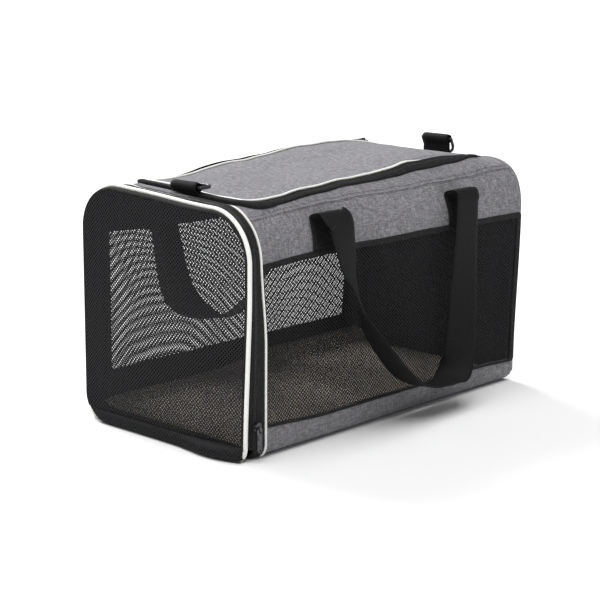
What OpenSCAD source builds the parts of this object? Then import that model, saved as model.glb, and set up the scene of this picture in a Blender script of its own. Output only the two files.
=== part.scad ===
// Soft-sided pet carrier bag with a zipped mesh door, a zipped roof flap and two carrying handles.
// X runs along the bag with the door at -X, Y across it and Z up. The origin is on the
// underside, at the middle of the shell. All sizes are in millimetres.

/* [Shell] */
// Length from the door's face to the rear panel
bag_length = 480; // [450:10:520]
// Width of the shell between its two flat sides
bag_width = 256; // [244:2:276]
// Height of the shell
bag_height = 273; // [266:1:290]
// Radius of the two upper edges
top_radius = 52; // [48:1:56]
// Radius of the two lower edges
base_radius = 16; // [14:1:20]
// Thickness of the padded fabric walls
wall = 2.5; // [2:0.1:3]

/* [Mesh windows] */
// Height of the near window's lower edge
window_low = 31; // [31:1:50]
// Height of the far window's lower edge
window_low_far = 50; // [31:1:60]
// Height of the windows' upper edges
window_high = 213; // [190:1:213]
// Thickness of the mesh fabric
mesh_thick = 1.4; // [1:0.1:1.8]
// Width of the tape sewn round a window
binding_width = 8; // [6:1:10]

/* [Door] */
// Depth of the door from its face to its half of the zip
door_depth = 14.6; // [14:0.1:16]
// Width of the rim round the door's mesh
rim_width = 9; // [8:1:12]
// Height of the fold that the door turns on
door_fold_z = 12; // [11:1:14]
// Diameter of the piping round the door
door_piping_d = 4.5; // [3.5:0.5:5]
// Width of the collar behind the door's zip
collar_width = 14; // [12:1:16]

/* [Roof flap] */
// Distance from the door's face to the flap's front edge
flap_front_inset = 46; // [44:1:50]
// Distance from the flap's fold to the rear panel's face
flap_rear_inset = 34; // [34:1:40]
// Distance from the shell's side to the flap's edge at the front
flap_side_front = 33; // [30:1:38]
// Distance from the shell's side to the flap's edge at the fold
flap_side_rear = 46; // [42:1:50]
// Radius of the flap's two front corners
flap_corner = 26; // [20:1:30]
// Width of each zip tape
tape_width = 6; // [5:0.5:6]

/* [Handles] */
// Width of the webbing
webbing_width = 40; // [36:1:42]
// Thickness of the webbing
webbing_thick = 3; // [2.5:0.1:3]
// Distance from the middle of the bag to each sewn end
handle_reach = 118; // [105:1:125]
// Height of the fold that a handle swings on
handle_fold_z = 250; // [246:1:252]
// Angle at which a hanging handle stands off the side
handle_tilt = 7; // [5:1:9]

/* [Strap rings] */
// Diameter of the ring's wire
ring_wire = 4; // [3.5:0.1:4.4]
// Depth of a ring from its bar to its far side
ring_depth = 20; // [18:1:20]
// Angle between the hanging rear ring and the vertical
rear_ring_lean = 26; // [24:1:30]

/* [Floor] */
// Thickness of the stiff board
board_thick = 3; // [2.5:0.5:3]
// Thickness of the fleece pad
pad_thick = 14; // [10:1:14]

/* [Hidden] */
$fn = 64;
half_width = bag_width / 2;
front_x = -bag_length / 2;
rear_x = bag_length / 2;
rear_panel_thick = 4;
rear_binding_thick = 1.2;
skin_rear = rear_x - rear_panel_thick;
door_gap = 0.4;
collar_front = front_x + door_depth + door_gap;
skin_front = collar_front + collar_width;
rim_depth = 9;
rim_back = front_x + rim_depth;
door_low = door_fold_z + door_gap;
seam_y = half_width - 19;
base_flat = half_width - base_radius;
coil_width = 1.8;
coil_height = 1.2;
joint_gap = 0.6;

flap_front = front_x + flap_front_inset;
flap_rear = rear_x - flap_rear_inset;
flap_half_front = half_width - flap_side_front;
flap_half_rear = half_width - flap_side_rear;
flap_edge_turn = atan2(flap_side_rear - flap_side_front, flap_rear - flap_front - flap_corner);
flap_piping_inset = 4.5;
flap_piping_width = 2.5;
notch_half = webbing_width / 2 + 8;
notch_rear = flap_front + 18;

wire_r = 1.5;
hoop_inset = wall + wire_r + 0.1;
front_hoop_x = skin_front - 3;
rear_hoop_x = skin_rear - 5;

loop_roll = 6.5;
loop_hole = 3;
front_loop_x = skin_front + 7;
front_loop_z = bag_height + loop_roll + 1.6;
rear_loop_x = rear_x - 3;
rear_loop_z = bag_height + 25;
loop_leg = 5;

handle_axis_y = half_width + 5;
barrel_r = 2.4;
bend_r = webbing_width / 2 + 0.3;
handle_stub = bend_r + barrel_r + 1;
anchor_low = window_high + binding_width / 2 + 0.2;
anchor_high = handle_fold_z - barrel_r - 0.4;

slider_length = 12;
slider_width = 8;
slider_thick = 2.4;
crown = [5, 2.4, 3];
pull_hole = 0.9;
pull_axle = 0.7;
pull_length = 22;
door_slider_z = 38;
flap_slider_x = flap_rear - 16;
flap_slider_out = 0.5;
flap_slider_y = flap_half_rear + (flap_rear - flap_slider_x) * tan(flap_edge_turn) + flap_slider_out;
flap_slider_z = bag_height + 1.9;

heather = [0.46, 0.45, 0.47];
black_fabric = [0.13, 0.13, 0.14];
mesh_black = [0.08, 0.08, 0.09];
piping_white = [0.94, 0.94, 0.92];
fleece = [0.72, 0.64, 0.53];
board_grey = [0.35, 0.35, 0.36];
wire_steel = [0.62, 0.63, 0.65];
pull_metal = [0.30, 0.30, 0.32];

// ---- Outlines and helpers ----

// The shell's section across the bag, drawn in Y and Z and grown by g on every side
module outline(g) {
    top_y = half_width - top_radius;
    top_z = bag_height - top_radius;
    polygon([
        [-base_flat, -g], [base_flat, -g], [half_width + g, base_radius], [half_width + g, top_z],
        [top_y, bag_height + g], [-top_y, bag_height + g],
        [-half_width - g, top_z], [-half_width - g, base_radius]
    ]);
    for (side = [-1, 1]) {
        translate([side * top_y, top_z]) circle(r = top_radius + g);
        translate([side * base_flat, base_radius]) circle(r = base_radius + g);
    }
}

// Sweeps a shape drawn in Y and Z along X
module along_x(from, to) {
    translate([from, 0, 0]) rotate([90, 0, 90]) linear_extrude(to - from) children();
}

// A layer of the shell's wall between two distances from its outer face
module layer(from, to, inner = -wall, outer = 0) {
    along_x(from, to) difference() {
        outline(outer);
        outline(inner);
    }
}

// Everything on one side of the bag, beyond y and between two heights
module side_zone(side, y, low, high) {
    depth = half_width + 20 - y;
    middle = y + depth / 2;
    translate([0, side * middle, (low + high) / 2])
        cube([bag_length + 40, depth, high - low], center = true);
}

// Height of the lower edge of the window on one side
function window_edge(side) = side < 0 ? window_low : window_low_far;

// Everything above a height
module above(z) {
    translate([-bag_length, -bag_width, z]) cube([2 * bag_length, 2 * bag_width, bag_height]);
}

// A tube that follows the shell's section at distance g, closed round the bag
module section_tube(x, g, r) {
    top_y = half_width - top_radius;
    top_z = bag_height - top_radius;
    translate([x, 0, 0]) rotate([90, 0, 90]) {
        for (side = [0, 1]) mirror([side, 0, 0]) {
            translate([top_y, top_z, 0])
                rotate_extrude(angle = 90) translate([top_radius + g, 0]) circle(r = r);
            translate([base_flat, base_radius, 0]) rotate([0, 0, -90])
                rotate_extrude(angle = 90) translate([base_radius + g, 0]) circle(r = r);
            translate([half_width + g, base_radius, 0])
                rotate([-90, 0, 0]) cylinder(h = top_z - base_radius, r = r);
        }
        translate([-top_y, bag_height + g, 0]) rotate([0, 90, 0]) cylinder(h = 2 * top_y, r = r);
        translate([-base_flat, -g, 0]) rotate([0, 90, 0]) cylinder(h = 2 * base_flat, r = r);
    }
}

// The flap's outline from above, drawn in X and Y, with its edges moved in by d
module flap_outline(d) {
    x = flap_front + d;
    corner = flap_corner - d;
    front = flap_half_front - d;
    rear = flap_half_rear - d;
    polygon([
        [flap_rear, -rear], [flap_rear, rear], [x + corner, front],
        [x, front - corner], [x, corner - front], [x + corner, -front]
    ]);
    for (side = [-1, 1]) translate([x + corner, side * (front - corner)]) circle(r = corner);
}

// The place in the flap's front edge where the front strap ring lies
module ring_notch(d) {
    translate([flap_front - 10, -notch_half - d])
        square([notch_rear - flap_front + 10 + d, 2 * (notch_half + d)]);
}

// A tall prism on a shape drawn in X and Y, through the roof
module roof_prism() {
    translate([0, 0, bag_height - 60]) linear_extrude(90) children();
}

// ---- Base and floor ----

module base_panel() {
    color(black_fabric) intersection() {
        layer(skin_front, skin_rear);
        translate([-bag_length, -base_flat, -1]) cube([2 * bag_length, 2 * base_flat, wall + 5]);
    }
}

module lower_band(side) {
    color(heather) intersection() {
        layer(skin_front, skin_rear);
        side_zone(side, base_flat, -1, window_edge(side));
    }
}

module floor_sheet(from, half, low, thick, corner) {
    to = skin_rear - 9;
    translate([0, 0, low]) linear_extrude(thick) {
        translate([from + corner, -half]) square([to - from - 2 * corner, 2 * half]);
        translate([from, corner - half]) square([to - from, 2 * (half - corner)]);
        for (x = [from + corner, to - corner], y = [corner - half, half - corner])
            translate([x, y]) circle(r = corner);
    }
}

module base_board() {
    color(board_grey) floor_sheet(skin_front + 8, base_flat + 1, wall + 0.1, board_thick, 10);
}

module floor_pad() {
    color(fleece) floor_sheet(rim_back + 2, base_flat, wall + board_thick + 0.3, pad_thick, 8);
}

// ---- Sides ----

module side_mesh(side) {
    y = side > 0 ? half_width - mesh_thick : -half_width;
    low = window_edge(side);
    color(mesh_black) translate([skin_front, y, low])
        cube([skin_rear - skin_front, mesh_thick, window_high - low]);
}

module window_binding(side) {
    from = skin_front + 2;
    to = skin_rear - 4;
    low = window_edge(side) - binding_width / 2;
    high = window_high + binding_width / 2;
    thick = 1.4;
    front_width = 3;
    y = side > 0 ? half_width : -half_width - thick;
    color(black_fabric) difference() {
        translate([from, y, low]) cube([to - from, thick, high - low]);
        translate([from + front_width, y - 1, low + binding_width])
            cube([to - from - front_width - binding_width, thick + 2, high - low - 2 * binding_width]);
    }
}

module upper_band(side) {
    color(heather) intersection() {
        layer(skin_front, skin_rear);
        side_zone(side, seam_y, window_high, bag_height);
    }
}

// ---- Roof ----

module roof_skin(from, to) {
    color(heather) difference() {
        intersection() {
            layer(from, to);
            translate([-bag_length, -seam_y, bag_height - 40]) cube([2 * bag_length, 2 * seam_y, 60]);
        }
        roof_prism() difference() {
            flap_outline(0);
            ring_notch(0);
        }
    }
}

module roof_strip(side) {
    intersection() {
        roof_skin(flap_front + flap_corner, flap_rear);
        side_zone(side, 1, 0, 2 * bag_height);
    }
}

module roof_zip_half() {
    color(black_fabric) intersection() {
        layer(skin_front + 2, flap_rear, 0, coil_height);
        roof_prism() difference() {
            flap_outline(-tape_width);
            flap_outline(0);
            ring_notch(0);
        }
    }
}

module zip_end(side) {
    length = 14;
    half = 4.5;
    color(black_fabric) intersection() {
        layer(flap_rear + joint_gap, flap_rear + length, 0, coil_height);
        roof_prism() polygon([
            [flap_rear, side * (flap_half_rear - half)], [flap_rear, side * (flap_half_rear + half)],
            [flap_rear + length, side * flap_half_rear]
        ]);
    }
}

// ---- Rear ----

module rear_panel() {
    color(heather) along_x(skin_rear, rear_x) outline(0);
}

module rear_lining() {
    color(black_fabric) along_x(skin_rear - 2, skin_rear) outline(-wall - 0.1);
}

module rear_binding() {
    color(heather) intersection() {
        layer(skin_rear - 3, rear_x, 0, rear_binding_thick);
        above(door_low);
    }
}

module rear_hoop() {
    color(wire_steel) section_tube(rear_hoop_x, -hoop_inset, wire_r);
}

// ---- Front edge of the shell ----

module front_collar() {
    color(black_fabric) layer(collar_front, skin_front);
}

module body_zip_half() {
    color(black_fabric) intersection() {
        layer(collar_front, collar_front + coil_width, 0, coil_height);
        above(door_low);
    }
}

module body_piping() {
    piping_r = 1.5;
    color(piping_white) intersection() {
        section_tube(skin_front, piping_r + 0.05, piping_r);
        above(door_low);
    }
}

module front_hoop() {
    color(wire_steel) section_tube(front_hoop_x, -hoop_inset, wire_r);
}

module door_sill() {
    color(black_fabric) difference() {
        intersection() {
            along_x(front_x, collar_front) outline(0);
            translate([-bag_length, -bag_width, -1])
                cube([2 * bag_length, 2 * bag_width, door_fold_z + 1]);
        }
        along_x(front_x + wall, collar_front + 1) outline(-wall);
    }
}

// ---- Webbing sewn to the shell ----

module anchor(x, side) {
    y = side > 0 ? half_width : -half_width - webbing_thick;
    color(black_fabric) translate([x - webbing_width / 2, y, anchor_low])
        cube([webbing_width, webbing_thick, anchor_high - anchor_low]);
}

module strap_loop(x, z, low, leg_x) {
    color(black_fabric)
    translate([0, webbing_width / 2, 0]) rotate([90, 0, 0]) linear_extrude(webbing_width)
        difference() {
            union() {
                translate([x, z]) circle(r = loop_roll);
                translate([leg_x - loop_leg / 2, low]) square([loop_leg, z - low]);
            }
            translate([x, z]) circle(r = loop_hole);
        }
}

module loop_front() {
    strap_loop(front_loop_x, front_loop_z, bag_height, front_loop_x - 3);
}

module loop_rear() {
    strap_loop(rear_loop_x, rear_loop_z, bag_height + rear_binding_thick + 0.1, rear_loop_x);
}

// ---- Door ----

module door_rim() {
    color(black_fabric) difference() {
        intersection() {
            along_x(front_x, rim_back) outline(0);
            above(door_low);
        }
        intersection() {
            along_x(front_x - 1, rim_back + 1) outline(-rim_width);
            above(door_low + rim_width);
        }
        section_tube(front_x + rim_depth / 2, -rim_width / 2, wire_r + 0.05);
    }
}

module door_side_tape() {
    color(black_fabric) intersection() {
        layer(rim_back, collar_front - door_gap);
        above(door_low);
    }
}

module door_mesh() {
    mesh_x = front_x + rim_depth / 2;
    color(mesh_black) intersection() {
        along_x(mesh_x, mesh_x + mesh_thick) outline(-rim_width);
        above(door_low + rim_width);
    }
}

module door_zip_half() {
    back = collar_front - door_gap;
    color(black_fabric) intersection() {
        layer(back - coil_width, back, 0, coil_height);
        above(door_low);
    }
}

module door_piping() {
    piping_r = door_piping_d / 2;
    color(piping_white) intersection() {
        section_tube(front_x + piping_r + 0.3, piping_r + 0.05, piping_r);
        above(door_low);
    }
}

module door_hoop() {
    color(wire_steel) intersection() {
        section_tube(front_x + rim_depth / 2, -rim_width / 2, wire_r);
        above(door_low + 0.5);
    }
}

// ---- Roof flap ----

module flap_layer(inner, outer, from_edge, to_edge) {
    intersection() {
        layer(flap_front, flap_rear - joint_gap, inner, outer);
        roof_prism() difference() {
            flap_outline(from_edge);
            ring_notch(joint_gap);
            if (to_edge > 0) flap_outline(to_edge);
        }
    }
}

module flap_panel() {
    color(heather) flap_layer(-wall, 0, joint_gap, 0);
}

module flap_zip_half() {
    color(black_fabric) flap_layer(0, coil_height, joint_gap, flap_piping_inset);
}

module flap_piping() {
    color(piping_white)
        flap_layer(0, flap_piping_width, flap_piping_inset, flap_piping_inset + flap_piping_width);
}

// ---- Handles ----

// One straight run of webbing in X and Z, from a to a round bend at b
module webbing_run(a, b) {
    run = b - a;
    translate(a) rotate(atan2(run[1], run[0]))
        translate([0, -webbing_width / 2]) square([norm(run), webbing_width]);
    translate(b) circle(r = bend_r);
}

// A hanging handle: webbing from one fold to the other through round bends
module handle(side, bends) {
    path = concat([[-handle_reach, -handle_stub]], bends, [[handle_reach, -handle_stub]]);
    color(black_fabric)
    translate([0, side * handle_axis_y, handle_fold_z]) rotate([side * handle_tilt, 0, 0]) {
        translate([0, webbing_thick / 2, 0]) rotate([90, 0, 0]) linear_extrude(webbing_thick) {
            for (x = [-handle_reach, handle_reach])
                translate([x - webbing_width / 2, -handle_stub]) square([webbing_width, handle_stub]);
            translate(path[0]) circle(r = bend_r);
            for (i = [1 : len(path) - 1]) webbing_run(path[i - 1], path[i]);
        }
        for (x = [-handle_reach, handle_reach])
            translate([x - webbing_width / 2 - 0.5, 0, 0]) rotate([0, 90, 0])
                cylinder(h = webbing_width + 1, r = barrel_r);
    }
}

module handle_near() {
    handle(-1, [[-88, -90], [-54, -152], [14, -196], [78, -200], [102, -152]]);
}

module handle_far() {
    handle(1, [[-90, -106], [-52, -156], [-4, -174], [50, -144]]);
}

// ---- Strap rings ----

// A ring lying along +X from its bar, which is on the Y axis at the origin
module d_ring() {
    r = ring_wire / 2;
    half = webbing_width / 2 + 3;
    corner = 12;
    color(pull_metal) {
        translate([0, -half, 0]) rotate([-90, 0, 0]) cylinder(h = 2 * half, r = r);
        translate([ring_depth, corner - half, 0])
            rotate([-90, 0, 0]) cylinder(h = 2 * (half - corner), r = r);
        for (side = [0, 1]) mirror([0, side, 0]) {
            translate([0, half, 0]) sphere(r = r);
            translate([0, half, 0]) rotate([0, 90, 0]) cylinder(h = ring_depth - corner, r = r);
            translate([ring_depth - corner, half - corner, 0])
                rotate_extrude(angle = 90) translate([corner, 0]) circle(r = r);
        }
    }
}

module d_ring_front() {
    translate([front_loop_x, 0, front_loop_z]) d_ring();
}

module d_ring_rear() {
    translate([rear_loop_x, 0, rear_loop_z]) rotate([0, 90 - rear_ring_lean, 0]) d_ring();
}

// ---- Zip sliders and pulls ----

// A slider on a zip that runs along X, lying on the XY plane, with a hole for its pull
module slider() {
    color(pull_metal) {
        linear_extrude(slider_thick) {
            translate([-slider_length / 2, -slider_width / 4]) square([slider_length, slider_width / 2]);
            for (x = [-1, 1])
                translate([x * (slider_length - slider_width) / 2, 0]) circle(r = slider_width / 2);
        }
        translate([-1, 0, slider_thick]) difference() {
            translate([-crown[0] / 2, -crown[1] / 2, 0]) cube(crown);
            translate([0, crown[1], crown[2] / 2])
                rotate([90, 0, 0]) cylinder(h = 2 * crown[1], r = pull_hole);
        }
    }
}

// The pull of that slider, lying along -X from its axle
module pull() {
    cheek = 1.8;
    cheek_y = 1.5;
    tab_start = 4.2;
    tab_half = 3;
    eye_r = 1.4;
    eye_x = tab_half - pull_length;
    color(pull_metal) translate([-1, 0, slider_thick + crown[2] / 2]) {
        translate([0, cheek_y + cheek / 2, 0])
            rotate([90, 0, 0]) cylinder(h = 2 * cheek_y + cheek, r = pull_axle);
        for (side = [-1, 1])
            translate([-tab_start - 1, side * (cheek_y + cheek / 2) - cheek / 2, -pull_axle])
                cube([tab_start + 1.6, cheek, 2 * pull_axle]);
        translate([-tab_start, 0, -pull_axle]) linear_extrude(2 * pull_axle) difference() {
            union() {
                translate([eye_x, -tab_half]) square([-eye_x, 2 * tab_half]);
                translate([eye_x, 0]) circle(r = tab_half);
            }
            translate([eye_x, 0]) circle(r = eye_r);
        }
    }
}

module on_door_zip() {
    translate([collar_front - 0.2, -half_width - coil_height - 0.4, door_slider_z])
        rotate([90, 0, 0]) rotate([0, 0, 90]) children();
}

module on_flap_zip() {
    translate([flap_slider_x, flap_slider_y, flap_slider_z]) rotate([0, 0, -flap_edge_turn]) children();
}

module door_slider() {
    on_door_zip() slider();
}

module door_pull() {
    on_door_zip() pull();
}

module flap_slider() {
    on_flap_zip() slider();
}

module flap_pull() {
    on_flap_zip() pull();
}

base_panel();
lower_band(-1);  // lower_band_near
lower_band(1);  // lower_band_far
base_board();
floor_pad();
side_mesh(-1);  // side_mesh_near
side_mesh(1);  // side_mesh_far
window_binding(-1);  // window_binding_near
window_binding(1);  // window_binding_far
upper_band(-1);  // upper_band_near
upper_band(1);  // upper_band_far
roof_skin(skin_front, flap_front + flap_corner);  // roof_front
roof_strip(-1);  // roof_strip_near
roof_strip(1);  // roof_strip_far
roof_skin(flap_rear, skin_rear);  // roof_rear
roof_zip_half();
zip_end(-1);  // zip_end_near
zip_end(1);  // zip_end_far
rear_panel();
rear_lining();
rear_binding();
rear_hoop();
front_collar();
body_zip_half();
body_piping();
front_hoop();
door_sill();
anchor(-handle_reach, -1);  // anchor_near_front
anchor(handle_reach, -1);  // anchor_near_rear
anchor(-handle_reach, 1);  // anchor_far_front
anchor(handle_reach, 1);  // anchor_far_rear
loop_front();
loop_rear();
door_rim();
door_side_tape();
door_mesh();
door_zip_half();
door_piping();
door_hoop();
flap_panel();
flap_zip_half();
flap_piping();
handle_near();
handle_far();
d_ring_front();
d_ring_rear();
door_slider();
door_pull();
flap_slider();
flap_pull();
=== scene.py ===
"""Pet carrier bag: the looks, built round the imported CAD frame. Lengths in this script are in
millimetres until a mesh is made, and the frame's own boxes are in metres."""

import math

import bmesh
import bpy
import numpy as np
from mathutils import Matrix, Vector


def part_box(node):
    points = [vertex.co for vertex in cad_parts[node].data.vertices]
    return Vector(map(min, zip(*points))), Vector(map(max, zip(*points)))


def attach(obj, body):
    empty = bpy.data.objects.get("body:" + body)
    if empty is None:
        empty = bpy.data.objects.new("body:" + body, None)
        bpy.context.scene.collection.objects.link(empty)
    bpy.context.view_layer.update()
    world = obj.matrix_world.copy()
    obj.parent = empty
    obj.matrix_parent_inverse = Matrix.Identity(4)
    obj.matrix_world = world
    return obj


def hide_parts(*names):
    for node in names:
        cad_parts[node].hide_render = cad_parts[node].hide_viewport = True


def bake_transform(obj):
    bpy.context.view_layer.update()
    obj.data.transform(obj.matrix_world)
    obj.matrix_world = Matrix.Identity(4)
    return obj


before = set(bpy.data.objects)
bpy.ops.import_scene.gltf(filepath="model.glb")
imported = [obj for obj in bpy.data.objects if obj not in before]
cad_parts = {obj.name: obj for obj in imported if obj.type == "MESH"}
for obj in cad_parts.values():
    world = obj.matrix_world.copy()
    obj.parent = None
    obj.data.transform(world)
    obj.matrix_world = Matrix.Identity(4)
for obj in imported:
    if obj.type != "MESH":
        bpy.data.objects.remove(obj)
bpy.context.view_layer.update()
MM = 0.001


def box_mm(node):
    """Lowest and highest corner of a CAD node, in millimetres."""
    low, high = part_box(node)
    return np.array(low) / MM, np.array(high) / MM


# ---- Sizes from the frame ----

rear_low, rear_high = box_mm("rear_panel")
collar_low, collar_high = box_mm("front_collar")
rim_low, rim_high = box_mm("door_rim")
near_low, near_high = box_mm("side_mesh_near")
far_low, far_high = box_mm("side_mesh_far")
flap_low, flap_high = box_mm("flap_panel")

HALF = rear_high[1]                # half width of the shell
HEIGHT = rear_high[2]              # height of the shell
REAR_X = rear_high[0]              # outer face of the rear panel
SKIN_REAR = rear_low[0]            # where the side panels end at the rear
SKIN_FRONT = collar_high[0]        # where they begin behind the collar
COLLAR_X = collar_low[0]           # where the door's zip meets the body's zip
FRONT_X = rim_low[0]               # the door's front face
DOOR_LOW = rim_low[2]              # lower edge of the door, at its fold
WINDOW_Z = {-1: (near_low[2], near_high[2]), 1: (far_low[2], far_high[2])}
TOP_R = 52.0                       # radius of the upper edges
BASE_R = 16.0                      # radius of the lower edges
WALL = 2.4                         # thickness of the padded fabric
SEAM_Y = HALF - 19.0               # the shoulder seam between side and roof
FLAP_FRONT = flap_low[0]
FLAP_REAR = flap_high[0]
FLAP_SIDE_FRONT = 33.0             # distance from the shell's side to the flap's edge at the front
FLAP_SIDE_REAR = 46.0              # and at the fold
FLAP_CORNER = 26.0                 # radius of the flap's front corners
RIM_WIDTH = 4.0                    # width of the door's padded rim
RIM_PUFF = 6.5                     # how far the rim's padding stands forward of the door's plane
DOOR_CORNER = 8.0                  # radius of the door's lower corners
FAR_SET = 0.5                      # how far the rim is pushed outwards on the far side
PIPING_R = 2.6                     # radius of the bold piping round the door
SILL_WRAP = 18.0                   # width of the mesh that wraps over the sill
COLLAR_RISE = (2.2, -2.4)          # how far the collar stands above the roof, near half and far half
DOOR_PITCH = (4.6, 4.6)            # distance between holes in the mesh, along and across
WINDOW_THREAD = {-1: 0.64, 1: 0.56}
WINDOW_PITCH = {-1: (4.8, 4.4), 1: (3.4, 3.4)}
WEBBING = 40.0                     # width of the webbing
# A handle's blend slants this much, so that its lowest part, twisted towards the side, still follows it
FOLD_RISE, FOLD_TOP = 37.0, 41.5   # height of a handle's fold and of its top above the sewn end's lower edge
LOOP_R = 5.0                       # radius of the webbing rolled round a strap ring
LOOP_DROP = 6.5                    # from a loop's top or front to the middle of its roll
NET_THICK = 0.8                    # thickness of the mesh

# Distances along half of the section, from the middle of the base up to the middle of the roof
T_ARC = HALF - BASE_R
T_SIDE = T_ARC + BASE_R * math.pi / 2
T_SHOULDER = T_SIDE + HEIGHT - TOP_R - BASE_R
T_TOP = T_SHOULDER + TOP_R * math.pi / 2
T_MID = T_TOP + HALF - TOP_R


# ---- The shell's surface ----

def smooth(a, b, v):
    """0 below a, 1 above b and a smooth step between."""
    s = np.clip((np.asarray(v, float) - a) / (b - a), 0, 1)
    return s * s * (3 - 2 * s)


def section(t):
    """The point and outward normal of the section at distance t, on the +Y side: y, z, ny, nz."""
    t = np.asarray(t, float)
    low = (t - T_ARC) / BASE_R
    high = (t - T_SHOULDER) / TOP_R
    zones = [t < T_ARC, t < T_SIDE, t < T_SHOULDER, t < T_TOP]
    y = np.select(zones, [t, T_ARC + BASE_R * np.sin(low), HALF + 0 * t, HALF - TOP_R + TOP_R * np.cos(high)],
                  HALF - TOP_R - (t - T_TOP))
    z = np.select(zones, [0 * t, BASE_R - BASE_R * np.cos(low), BASE_R + t - T_SIDE,
                          HEIGHT - TOP_R + TOP_R * np.sin(high)], HEIGHT)
    ny = np.select(zones, [0 * t, np.sin(low), 1 + 0 * t, np.cos(high)], 0)
    nz = np.select(zones, [-1 + 0 * t, -np.cos(low), 0 * t, np.sin(high)], 1)
    return y, z, ny, nz


def t_at_height(z):
    """The distance at which the upright side reaches height z."""
    return T_SIDE + z - BASE_R


def t_at_low(z):
    """The distance at which the lower corner, or the upright side above it, reaches height z."""
    if z > BASE_R:
        return t_at_height(z)
    return T_ARC + BASE_R * np.arccos((BASE_R - z) / BASE_R)


def t_at_y(y):
    """The distance at which the shoulder or the roof is y from the middle."""
    y = np.abs(np.asarray(y, float))
    turn = np.arccos(np.clip((y - HALF + TOP_R) / TOP_R, 0, 1))
    return np.where(y < HALF - TOP_R, T_MID - y, T_SHOULDER + TOP_R * turn)


def wave_set(seed, count, shortest, longest):
    """Seeded waves for ripple(): direction, wave number and phase."""
    draw = np.random.default_rng(seed)
    angle = draw.uniform(0, math.pi, count)
    number = 2 * math.pi / draw.uniform(shortest, longest, count)
    return np.stack([np.cos(angle) * number, np.sin(angle) * number, draw.uniform(0, 2 * math.pi, count)])


def ripple(u, v, waves):
    """A smooth uneven field of about -1 to 1."""
    total = sum(np.sin(a * u + b * v + c) for a, b, c in waves.T)
    return total / math.sqrt(2 * waves.shape[1])


BROAD = wave_set(3, 7, 90, 200)
CREASE = wave_set(11, 9, 34, 70)
WINDOW_T = {side: tuple(t_at_height(z) for z in heights) for side, heights in WINDOW_Z.items()}


def crown(x, t, side):
    """How far the stuffed roof stands above its flat section, most of all behind its middle."""
    along = 7 * smooth(SKIN_FRONT - 4, -60, x) + 6.5 * smooth(-90, 170, x) - 7 * smooth(185, REAR_X + 4, x)
    from_middle = T_MID - t
    tilt = 5.0 * smooth(-130, -30, x) * (1 - smooth(110, 205, x)) * smooth(10, 70, from_middle)
    far_tilt = np.where(side > 0, tilt * (1 - smooth(95, 140, from_middle)), 0)
    return along * smooth(T_SHOULDER + 10, T_TOP + 10, t) + far_tilt


def slack(x, t, side):
    """How far the fabric stands out from its plain section: puckers, the windows' sag and the fuller rear."""
    held = smooth(SKIN_FRONT - 4, SKIN_FRONT + 40, x) * (1 - smooth(SKIN_REAR - 40, SKIN_REAR + 2, x))
    upper = smooth(T_SIDE, T_SIDE + 40, t)
    round_about = side * (T_MID - t)
    puckers = held * upper * (1.3 * ripple(x, round_about, BROAD) + 0.6 * ripple(x, round_about, CREASE))
    low = np.where(side > 0, WINDOW_T[1][0], WINDOW_T[-1][0])
    top = WINDOW_T[1][1]
    inside = np.clip((t - low) / (top - low), 0, 1)
    sag = -5.0 * np.sin(math.pi * inside) * held
    rear = 4.3 * smooth(150, REAR_X, x) * smooth(T_SIDE + 20, top, t)
    rear = rear * (1 - smooth(T_SHOULDER + 40, T_TOP + 20, t))
    full = 5.5 * smooth(140, REAR_X, x) * np.exp(-((t - (T_SHOULDER + T_TOP) / 2) / 24) ** 2)
    return puckers * (1 - 0.6 * np.sin(math.pi * inside)) + sag + rear + full


def lean(points):
    """The set of the bag's front: its top tilts up to the far side and its near side draws in."""
    x, y, z = np.moveaxis(points, -1, 0)
    front = 1 - smooth(-215, -120, x)
    tilt = (0.042 * (y - 20) - 1.6 * np.exp(-((y + 50) / 50) ** 2)) * smooth(120, 200, z)
    at_door = -6.5 * (1 - smooth(0, 200, z))
    at_collar = -1 - 8 * smooth(120, 240, z)
    change = smooth(FRONT_X + 4, SKIN_FRONT, x)
    drawn = (at_door * (1 - change) + at_collar * change) * (1 - smooth(-112, -60, y))
    return points + np.stack([0 * x, -front * drawn, front * tilt], -1)


def skin(x, t, side, lift=0.0):
    """A point on the shell, lift outside its surface. side is -1 for the near side and 1 for the far side."""
    x, t, side, lift = np.broadcast_arrays(np.asarray(x, float), t, side, lift)
    y, z, ny, nz = section(t)
    out = slack(x, t, side) + lift
    height = np.maximum(z + out * nz + crown(x, t, side), 0.1)
    return lean(np.stack([x, side * (y + out * ny), height], -1))


def window_edge(x, side):
    """The distance along the section of a window's lower edge. The near one climbs to the front."""
    climb = 5 * (1 - smooth(-225, -110, x)) - 3.2 * smooth(165, 238, x)
    return WINDOW_T[side][0] + (climb if side < 0 else 0 * climb)


# ---- Mesh makers ----

def make_object(name, points, faces, materials=(), smooth_shading=True, uv=None):
    """An object from points in millimetres and faces given by their corner numbers."""
    mesh = bpy.data.meshes.new(name)
    corners = (np.asarray(points, float).reshape(-1, 3) * MM).tolist()
    mesh.from_pydata(corners, [], [list(map(int, f)) for f in faces])
    if uv is not None:
        layer = mesh.uv_layers.new(name="UVMap")
        corner = np.zeros(len(mesh.loops), int)
        mesh.loops.foreach_get("vertex_index", corner)
        layer.data.foreach_set("uv", np.asarray(uv, float).reshape(-1, 2)[corner].ravel())
    for material in materials:
        mesh.materials.append(material)
    mesh.polygons.foreach_set("use_smooth", [smooth_shading] * len(mesh.polygons))
    mesh.update()
    piece = bpy.data.objects.new(name, mesh)
    bpy.context.scene.collection.objects.link(piece)
    return piece


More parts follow.
